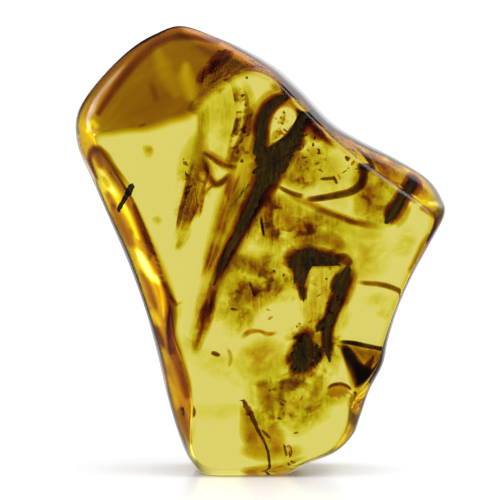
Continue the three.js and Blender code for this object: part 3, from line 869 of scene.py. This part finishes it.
# soft fringes round the dark debris, from brown through orange to yellow: route, density, depth
softFringes = [
    ([(284, 88, 4), (268, 97, 6), (258, 112, 8), (252, 128, 9), (246, 146, 10),
      (240, 166, 8)], 2.4, 0.85),
    ([(252, 140, 6), (249, 156, 8), (246, 172, 9), (242, 190, 9), (236, 206, 8),
      (230, 222, 6)], 1.8, 0.8),
    ([(236, 176, 8), (228, 200, 12), (221, 224, 11), (214, 248, 9), (207, 272, 6)], 1.6, 0.95),
    ([(303, 150, 3), (303, 132, 5), (301, 116, 6), (293, 104, 7), (281, 101, 8), (269, 107, 9),
      (262, 120, 9), (260, 138, 9), (260, 154, 12)], 4.0, 0.7),
    ([(284, 140, 9), (276, 152, 15), (270, 168, 18), (262, 188, 15), (251, 208, 12), (240, 230, 11),
      (228, 256, 9), (217, 282, 7), (208, 308, 5)], 4.6, 0.65),
    ([(296, 108, 6), (307, 120, 11), (316, 131, 11), (326, 141, 7)], 5.5, 0.75),
    ([(290, 97, 4), (302, 108, 8), (313, 120, 10), (325, 133, 10), (339, 146, 6)], 7.0, 0.6),
    ([(282, 186, 7), (294, 168, 10), (306, 152, 9)], 1.8, 0.9),
    ([(278, 188, 2.5), (295, 197, 3.5), (308, 202.5, 4.5), (322, 209.5, 5), (338, 215.5, 5),
      (352, 220.5, 5), (370, 224, 4.5), (384, 225, 3)], 2.8, -0.8),
    ([(300, 206, 4), (330, 220, 7), (360, 230, 8), (385, 231, 5)], 1.0, -0.9),
    ([(407, 184, 5), (400, 199, 9), (393, 211, 10), (383, 225, 5)], 4.5, 0.75),
    ([(408, 204, 3), (402, 216, 5), (394, 227, 3)], 2.4, 0.85),
    ([(282, 262, 7), (297, 257, 14), (316, 256, 12), (345, 262, 6)], 5.0, 0.75),
    ([(296, 256, 8), (301, 274, 9), (302, 294, 5)], 4.5, 0.8),
    ([(300, 247, 5), (315, 239, 9), (332, 240, 9), (346, 251, 5)], 2.6, 0.7),
    ([(332, 256, 3), (343, 257, 6), (351, 265, 4)], 6.0, 0.6),
    ([(352, 258, 5), (344, 275, 9.5), (336, 298, 9), (328, 322, 8), (327, 345, 6),
      (330, 368, 3)], 3.6, 0.7),
    ([(355, 266, 4), (348, 288, 6), (341, 308, 4)], 2.6, 0.85),
    ([(309, 320, 6), (305, 338, 12), (301, 356, 17), (300, 380, 9)], 3.8, 0.75),
    ([(312, 330, 3), (318, 339, 5), (314, 350, 3)], 2.6, 0.6),
    ([(276, 387, 6), (292, 382, 9), (310, 380, 6)], 2.0, 0.85),
    ([(335, 337, 3), (345, 354, 5), (351, 370, 6), (355, 392, 4)], 2.2, -0.7),
    ([(207, 100, 4), (205, 122, 6), (202, 146, 7.5), (196, 176, 9), (190, 206, 9),
      (181, 242, 5)], 1.4, 0.85),
    ([(204, 128, 5), (196, 146, 10), (188, 164, 11), (182, 184, 7)], 1.0, 0.95),
    ([(206, 150, 3), (216, 158, 5), (228, 166, 6), (240, 168, 4)], 2.6, 0.7),
    ([(205, 154, 3), (208, 170, 6), (215, 184, 6), (226, 180, 5), (234, 168, 3)], 2.4, 0.75),
    ([(243, 400, 4), (247, 415, 8), (249, 432, 10), (252, 448, 6)], 2.2, 0.8),
    ([(251, 408, 5), (257, 430, 14), (262, 452, 9)], 2.3, 0.95),
    ([(272, 420, 5), (276, 437, 10), (278, 454, 7)], 2.6, 0.75),
    ([(260, 376, 5), (265, 394, 9), (270, 414, 5)], 2.6, 0.85),
    ([(276, 383, 6), (287, 388, 10), (299, 388, 6)], 1.7, 0.8),
    ([(279, 388, 4), (282, 404, 5), (280, 422, 3)], 2.0, 0.7),
    ([(300, 394, 4), (306, 408, 7), (303, 426, 4)], 1.0, 0.8),
    ([(317, 371, 4), (317, 384, 5.5), (313, 398, 4)], 2.0, 0.7),
    ([(240, 338, 2), (249, 331, 3.4), (259, 330, 2.2), (268, 333, 2.8), (279, 331, 1.4)], 3.0, 0.85),
    ([(238, 306, 6), (250, 290, 10), (264, 282, 7)], 1.8, 0.9),
    ([(228, 256, 5), (243, 262, 9), (258, 268, 9), (274, 276, 5)], 2.0, 0.9),
    ([(244, 80, 3), (250, 100, 6), (249, 124, 6), (242, 146, 5), (236, 164, 3)], 1.8, 0.8),
    ([(203, 93, 3), (205, 82, 6), (213, 73, 6), (224, 70, 4)], 4.2, -1.7),
    ([(320, 395, 5), (334, 397, 9), (350, 392, 5)], 0.9, 0.9),
    ([(238, 446, 5), (258, 451, 8), (282, 452, 8), (306, 446, 5)], 2.0, 0.9),
    ([(268, 84, 4), (282, 90, 6), (294, 99, 4)], 2.2, 0.5),
]

# clouds of stained resin: outline, density, depth
cloudPatches = [
    ([(226, 246), (262, 240), (294, 252), (300, 292), (290, 304), (262, 306), (256, 322), (232, 340),
      (216, 310), (216, 272)], 1.7, 0.95),
    ([(236, 348), (262, 336), (286, 340), (284, 372), (262, 384), (240, 376)], 2.6, 1.0),
    ([(246, 372), (276, 366), (312, 372), (334, 390), (322, 420), (296, 436), (262, 430),
      (244, 404)], 1.6, 1.0),
    ([(248, 186), (290, 196), (340, 220), (350, 244), (300, 252), (262, 244), (242, 214)], 3.2, 1.05),
    ([(280, 186), (292, 158), (306, 144), (322, 148), (320, 172), (306, 192)], 2.2, 0.9),
    ([(200, 98), (222, 82), (246, 86), (254, 115), (246, 148), (228, 170), (206, 164),
      (196, 130)], 0.8, 1.0),
    ([(207, 88), (212, 77), (220, 71), (229, 73), (230, 82), (224, 91), (215, 95)], 3.4, -1.75),
    ([(348, 150), (376, 156), (396, 176), (398, 204), (386, 228), (358, 224), (346, 195)], 3.0, 0.95),
    ([(326, 230), (362, 226), (394, 242), (388, 272), (350, 282), (322, 266)], 1.6, 1.0),
    ([(190, 402), (215, 398), (242, 400), (250, 410), (225, 418), (194, 416)], 0.6, -0.8),
    ([(180, 330), (205, 345), (245, 360), (262, 378), (240, 386), (205, 372), (182, 352)], 1.2, 1.0),
    ([(142, 148), (149, 145), (155, 150), (153, 158), (146, 159)], 1.8, 0.5),
    ([(154, 216), (160, 213), (165, 218), (162, 224), (155, 223)], 2.4, 0.5),
    ([(372, 312), (380, 303), (392, 303), (394, 312), (384, 318)], 2.4, 0.5),
    ([(398, 226), (414, 223), (416, 240), (403, 256), (388, 250)], 1.6, 0.8),
    ([(360, 295), (380, 290), (394, 296), (384, 306), (362, 304)], 1.3, 0.8),
    ([(298, 104), (312, 112), (326, 124), (338, 141), (330, 153), (316, 147), (304, 141),
      (298, 126)], 6.0, 0.5),
    ([(316, 300), (330, 330), (346, 344), (336, 376), (322, 372), (314, 340)], 2.0, 0.9),
    ([(318, 152), (338, 152), (352, 175), (350, 205), (328, 212), (314, 188)], 1.7, 0.9),
]

# small dark blots strewn through the clouds and along the rims: outline, density, depth
blotPatches = [
    ([(232, 82), (246, 84), (256, 110), (252, 138), (240, 166), (224, 170), (230, 140),
      (236, 112)], 7.0, 0.6),
    ([(226, 250), (262, 244), (300, 262), (298, 298), (262, 306), (244, 336), (220, 322),
      (216, 285)], 4.2, 0.65),
    ([(246, 372), (290, 366), (326, 386), (330, 416), (290, 436), (246, 424)], 3.2, 0.65),
    ([(282, 184), (292, 156), (306, 142), (324, 148), (318, 176), (304, 190)], 7.0, 0.65),
    ([(252, 190), (290, 198), (336, 218), (336, 242), (290, 246), (246, 228)], 6.0, 0.6),
    ([(268, 143), (275, 123), (287, 109), (296, 110), (290, 125), (279, 138)], 4.5, 0.6),
    ([(180, 165), (206, 148), (220, 170), (208, 202), (190, 240), (174, 245)], 3.0, 0.6),
    ([(282, 330), (306, 322), (334, 300), (342, 340), (326, 382), (284, 388)], 5.5, 0.6),
    ([(350, 156), (378, 160), (396, 190), (386, 226), (354, 218)], 3.6, 0.6),
    ([(206, 88), (211, 77), (219, 71), (229, 72), (231, 81), (225, 91), (215, 96)], 8.0, -1.8),
]

# cracks and rims of old bubbles, as thin dense lines: route, density, depth
crackLines = [
    ([(303, 196.5, 2.4), (312, 197.5, 3.4), (332, 194.5, 4), (350, 190, 4.6), (360, 181.5, 5.2),
      (361, 170, 4.8), (355, 158, 4), (344.5, 146.5, 2.4)], 6.0, -2.5),
    ([(275, 185, 2), (291, 193, 3), (304, 196.5, 3)], 3.4, 0.65),
    ([(312, 204, 2), (324, 210.5, 3.2), (338, 216, 3), (352, 221, 3.2), (368, 224.5, 2.6)], 3.2, -0.9),
    ([(318, 179, 1.4), (326, 178.5, 2.2), (334, 178, 1.8)], 5.0, 0.4),
    ([(331.5, 175, 1.2), (334, 180, 2), (336, 184.5, 1.2)], 5.0, 0.35),
    ([(343, 153, 1.2), (345, 158, 2), (347, 162, 1.2)], 6.0, 0.4),
    ([(260.5, 215, 1.2), (262, 226, 1.8), (264, 237, 1.2)], 8.0, 0.4),
    ([(201, 151, 2), (212, 158, 3), (224, 165, 3), (240, 168, 2.4)], 3.6, 0.5),
    ([(204, 157, 2), (208, 172, 3), (215, 184, 4), (224, 181, 3.4), (232, 170, 2)], 3.8, 0.6),
    ([(353, 280, 1.8), (366, 281.5, 3), (378, 282.5, 3.2), (391, 286, 3.2), (402, 292.5, 2)], 3.4, 0.3),
    ([(249, 280, 1), (252, 288, 1.6), (255, 297, 1)], 5.0, 0.5),
    ([(276, 381, 2), (292, 379, 3.4), (311, 384, 2)], 2.6, -0.3),
    ([(243, 87, 1.4), (247, 100, 2.6), (247, 116, 3), (243, 132, 2.8), (236, 148, 2.6),
      (230, 164, 1.4)], 2.6, 0.3),
    ([(187, 170, 1.6), (189, 183, 3), (185, 198, 3), (182, 215, 2.6), (178, 232, 1.4)], 1.8, 0.2),
    ([(213, 351, 1.6), (217.5, 352.5, 2.8), (221.5, 354, 1.6)], 7.0, 0.5),
    ([(228, 346, 1.6), (231, 356, 2.6), (229, 366, 1.4)], 2.0, 0.5),
    ([(216, 184, 1.6), (206, 192, 2.4), (202, 204, 2), (200, 218, 1.2)], 3.2, 0.4),
    ([(261, 427, 1.4), (266, 432, 2), (271.5, 437.5, 1.2)], 4.0, 0.4),
    ([(283.5, 440.5, 0.9), (284.5, 447, 1.3), (286.5, 454.5, 0.9)], 4.5, 0.1),
    ([(286.5, 441.5, 0.9), (290.5, 446, 1.3), (290.5, 452, 1.3), (288, 455.5, 0.9)], 4.5, 0.1),
    ([(195, 401, 1), (197, 408, 1.8), (196, 415, 1)], 5.0, -0.9),
    ([(206, 79, 1), (207, 88, 1.5), (206.5, 96, 1)], 3.0, 0.2),
]

# patches with upright streaks, where the resin has run: outline, density, depth
runPatches = [
    ([(232, 190), (262, 186), (300, 200), (344, 218), (352, 246), (310, 262), (262, 250),
      (236, 236)], 2.6, 0.7),
    ([(218, 262), (252, 246), (296, 262), (300, 296), (268, 306), (242, 340), (214, 318)], 1.9, 0.75),
    ([(246, 372), (290, 362), (334, 384), (330, 416), (290, 440), (248, 428)], 1.3, 0.75),
    ([(284, 182), (296, 156), (312, 146), (328, 152), (322, 178), (304, 194)], 2.4, 0.7),
    ([(300, 236), (344, 240), (354, 290), (336, 350), (318, 376), (300, 330)], 1.6, 0.8),
    ([(352, 158), (384, 162), (400, 196), (386, 228), (354, 220)], 2.0, 0.75),
    ([(200, 100), (240, 84), (254, 116), (240, 160), (208, 168)], 0.8, 0.8),
]


# pieces of many veils: name, kind of veil, entries, first seed, material, and how fast the density falls
veilPieces = [
    ("streaked_stains", lineVeil, streakedStains, 220, fibreStain, 1.0),
    ("soft_fringes", lineVeil, softFringes, 320, softStain, 0.8),
    ("stain_clouds", patchVeil, cloudPatches, 240, cloudStain, 1.2),
    ("stain_blots", patchVeil, blotPatches, 260, blotStain, 1.0),
    ("cracks", lineVeil, crackLines, 280, lineStain, 0.8),
    ("resin_runs", patchVeil, runPatches, 270, runStain, 0.8),
]
for name, makeVeil, entries, seed, material, fall in veilPieces:
    veils = [makeVeil(way, seed + k, peak, lift, fall) for k, (way, peak, lift) in enumerate(entries)]
    skin, values = joinSkins(veils)
    newPiece(name, skin, values, material)
print("stains and cracks made")


# fine fibres beside the debris: bent hairs, each from a start over a length in a direction, near the flow
# layer, with beds given as steps across and down and a lean
hairLook = {
    "seed": 7,
    "firstSeed": 300,
    "count": 14,
    "radius": (0.12, 0.28),
    "taper": (0.5, 2.64),  # part of a half circle that the radius follows
    "length": (10, 24),
    "spread": 5.0,
    "lean": 0.25,
    "bend": 0.2,
    "lift": (-1.0, 1.2),
    "points": 5,
    "shape": {"steps": 4, "sides": 6, "flat": 1.0, "ragged": 0.0},
}
hairBeds = [(250, 190, 2.05), (240, 220, 2.05), (196, 185, 1.85)]


def hairSkins(look):
    rng = np.random.default_rng(look["seed"])
    t = np.linspace(0, 1, look["points"])
    taper = np.sin(np.linspace(*look["taper"], look["points"]))
    parts = []
    for k in range(look["count"]):
        x, y, lean = hairBeds[k % len(hairBeds)]
        x, y = rng.normal((x, y), look["spread"])
        lean += rng.normal(0, look["lean"])
        turn = lean + look["bend"] * rng.normal() * t
        length = rng.uniform(*look["length"])
        half = rng.uniform(*look["radius"]) * taper
        route = np.stack([x + length * t * np.cos(turn), y + length * t * np.sin(turn), half], 1)
        lift = rng.uniform(*look["lift"])
        skin, grain, *_ = strandSkin(route, look["firstSeed"] + k, lift=lift, **look["shape"])
        parts.append((skin, {"grain": grain}))
    return joinSkins(parts)


skin, values = hairSkins(hairLook)
newPiece("fine_fibres", skin, values, darkBark)

# grains of bark dust, strewn in beds: middle, spread across, spread up, count
dustLook = {
    "seed": 19,
    "firstSeed": 400,
    "length": (1.5, 6.0),
    "half": (0.6, 1.7),
    "taper": (0.5, 1.0, 0.9, 0.4),
    "lift": (-1.2, 1.2),
    "density": (1.2, 4.5),
    "shape": {"steps": 3, "sides": 8, "flat": 0.8, "ragged": 0.3},
}
dustBeds = [
    (308, 150, 8, 12, 26), (246, 122, 3, 22, 20), (346, 162, 7, 9, 6), (281, 126, 4, 8, 7),
    (188, 180, 2.5, 13, 8), (262, 285, 18, 18, 14), (316, 340, 11, 16, 18), (288, 402, 22, 14, 18),
    (330, 300, 8, 20, 10),
]


# short strands, each with its own lean, length, width and density
def dustSkins(look):
    rng = np.random.default_rng(look["seed"])
    taper = np.array(look["taper"])
    t = np.linspace(-0.5, 0.5, len(taper))
    parts = []
    for x, y, across, up, count in dustBeds:
        for _ in range(count):
            middle = rng.normal((x, y), (across, up))
            lean = rng.uniform(0, np.pi)
            reach = rng.uniform(*look["length"]) * t
            half = rng.uniform(*look["half"]) * taper
            route = np.stack([middle[0] + reach * np.cos(lean), middle[1] + reach * np.sin(lean), half], 1)
            lift = rng.uniform(*look["lift"])
            seed = look["firstSeed"] + len(parts)
            skin, grain, *_ = strandSkin(route, seed, lift=lift, **look["shape"])
            parts.append((skin, {"soak": np.full(len(grain), rng.uniform(*look["density"]))}))
    return joinSkins(parts)


skin, values = dustSkins(dustLook)
newPiece("bark_dust", skin, values, lineStain)

# bubbles: hollow ovals in the resin, so light bends the other way: middle, half width, half height, lean
# and lift
bubbleLook = {"ior": 0.66, "roughness": 0.02, "rows": 24, "sides": 40}
bubbles = [(287, 449, 2.6, 6.0, 0.2, 0.2), (191, 408, 3.2, 5.0, 0.2, -0.9)]


# oval by latitude and longitude, leaning in the plane of the front view
def bubbleSkin(x, y, wide, high, lean, lift, look):
    x, z = onSheet([(x, y)])[0]
    wide, high = wide * sheet["step"], high * sheet["step"]
    tilt = np.linspace(0, np.pi, look["rows"] + 2)[1:-1, None]
    turn = np.linspace(0, 2 * np.pi, look["sides"], endpoint=False)[None, :]
    across = wide * np.sin(tilt) * np.cos(turn)
    deep = wide * np.sin(tilt) * np.sin(turn)
    up = high * np.cos(tilt) + 0 * turn
    c, k = np.cos(lean), np.sin(lean)
    middle = np.array([x, flowDepth(x, z) + lift, z])
    rings = middle + np.stack([across * c - up * k, deep, across * k + up * c], -1)
    pole = np.array([-high * k, 0, high * c])
    return closedSkin(rings, middle + pole, middle - pole), {}


def makeBubbleMaterial(look):
    material, _, shader = newMaterial("bubble_wall")
    setSockets(shader, {"Transmission Weight": 1.0, "IOR": look["ior"], "Roughness": look["roughness"]})
    return material


skin, values = joinSkins([bubbleSkin(*bubble, bubbleLook) for bubble in bubbles])
newPiece("bubbles", skin, values, makeBubbleMaterial(bubbleLook))
print("fibres, dust and bubbles made")


# stage: pale floor and soft panels in dim surroundings; each panel has a direction, the cosines of the
# angles from it where the light ends and where it is full, and a strength
stageLook = {
    "floorHalf": 150.0,
    "floor": {"Base Color": (0.9, 0.9, 0.9, 1), "Roughness": 0.25, "Specular IOR Level": 0.1},
    "through": {  # seen through the amber
        "behind": ((0.0, 1.0, 0.0), 0.55, 0.90, 0.40),
        "front": ((0.0, -1.0, 0.0), 0.55, 0.90, 0.40),
        "right": ((0.86, 0.51, 0.0), 0.80, 0.97, 1.7),
        "above": ((0.0, 0.1, 1.0), 0.60, 0.98, 1.2),
        "below": ((-0.05, 0.0, -1.0), 0.72, 0.90, 1.7),
        "rightBelow": ((0.50, 0.55, -0.67), 0.90, 0.98, 0.8),
        "leftBelow": ((-0.40, 0.50, -0.75), 0.90, 0.97, 1.0),
        "left": ((-0.76, 0.50, 0.40), 0.92, 0.985, 2.0),
        "leftFront": ((-0.65, -0.50, -0.58), 0.80, 0.95, 1.2),
    },
    "throughAll": 0.50,
    "mirrored": {  # seen on its surface
        "sheen": ((0.22, 0.91, 0.34), 0.93, 0.975, 0.6),
        "line": ((0.44, -0.30, 0.80), 0.84, 0.96, 2.7),
        "streak": ((-0.67, 0.58, 0.46), 0.982, 0.998, 2.2),
        "behind": ((0.0, 1.0, 0.0), 0.93, 0.99, 0.65),
    },
    "mirroredAll": 0.06,
    "matte": 1.5,  # light on the floor and on the debris
    "backdrop": 1.1,
    "box": {
        "way": (-0.67, 0.58, 0.46),
        "away": 250.0,
        "aim": (0, 0, 20),
        "size": (20.0, 30.0),
        "power": 0.003,
    },
    "bounces": {
        "max_bounces": 32,
        "transmission_bounces": 32,
        "transparent_max_bounces": 32,
        "glossy_bounces": 16,
    },
}


def makeFloor(look):
    half = mm * look["floorHalf"]
    mesh = bpy.data.meshes.new("floor")
    corners = [(-half, -half, 0), (half, -half, 0), (half, half, 0), (-half, half, 0)]
    mesh.from_pydata(corners, [], [(0, 1, 2, 3)])
    material, _, shader = newMaterial("pale_floor")
    setSockets(shader, look["floor"])
    mesh.materials.append(material)
    floor = bpy.data.objects.new("floor", mesh)
    floor.visible_glossy = False  # the amber takes its light from the panels only
    floor.visible_transmission = False
    scene.collection.objects.link(floor)


# light from all round by the kind of ray: on matter, through the amber, on its surface and as the backdrop
def makeStudio(look):
    world = bpy.data.worlds.new("studio")
    world.use_nodes = True
    tree = world.node_tree
    direction = addNode(tree, "TexCoord").outputs["Generated"]

    def sumPanels(panels, total):
        for way, ends, full, strength in panels.values():
            towards = {0: direction, 1: tuple(unit(np.array(way)))}
            cosine = addNode(tree, "VectorMath", towards, operation="DOT_PRODUCT").outputs["Value"]
            spread = {0: cosine, 1: ends, 2: full, 3: 0.0, 4: strength}
            panel = addNode(tree, "MapRange", spread, interpolation_type="SMOOTHSTEP").outputs[0]
            total = mathNode(tree, "ADD", panel, total)
        return total

    ray = addNode(tree, "LightPath").outputs
    shown = sumPanels(look["mirrored"], look["mirroredAll"])
    through = sumPanels(look["through"], look["throughAll"])
    kinds = {
        "Is Diffuse Ray": look["matte"],
        "Is Transmission Ray": through,
        "Is Camera Ray": look["backdrop"],
    }
    for kind, light in kinds.items():
        shown = addNode(tree, "Mix", {0: ray[kind], 2: shown, 3: light}).outputs[0]
    tree.links.new(shown, tree.nodes["Background"].inputs["Strength"])
    tree.nodes["Background"].inputs["Color"].default_value = (1, 1, 1, 1)
    scene.world = world


def makeSoftbox(box):
    lamp = bpy.data.objects.new("softbox", bpy.data.lights.new("softbox", "AREA"))
    lamp.data.shape = "RECTANGLE"
    lamp.data.size, lamp.data.size_y = (mm * side for side in box["size"])
    lamp.data.energy = box["power"]
    way = Vector(box["way"]).normalized()
    lamp.location = mm * (box["away"] * way + Vector(box["aim"]))
    lamp.rotation_euler = way.to_track_quat("Z", "Y").to_euler()
    scene.collection.objects.link(lamp)


makeFloor(stageLook)
makeStudio(stageLook)
makeSoftbox(stageLook["box"])
scene.view_settings.view_transform = "Standard"
for key, count in stageLook["bounces"].items():
    setattr(scene.cycles, key, count)
print("stage made")
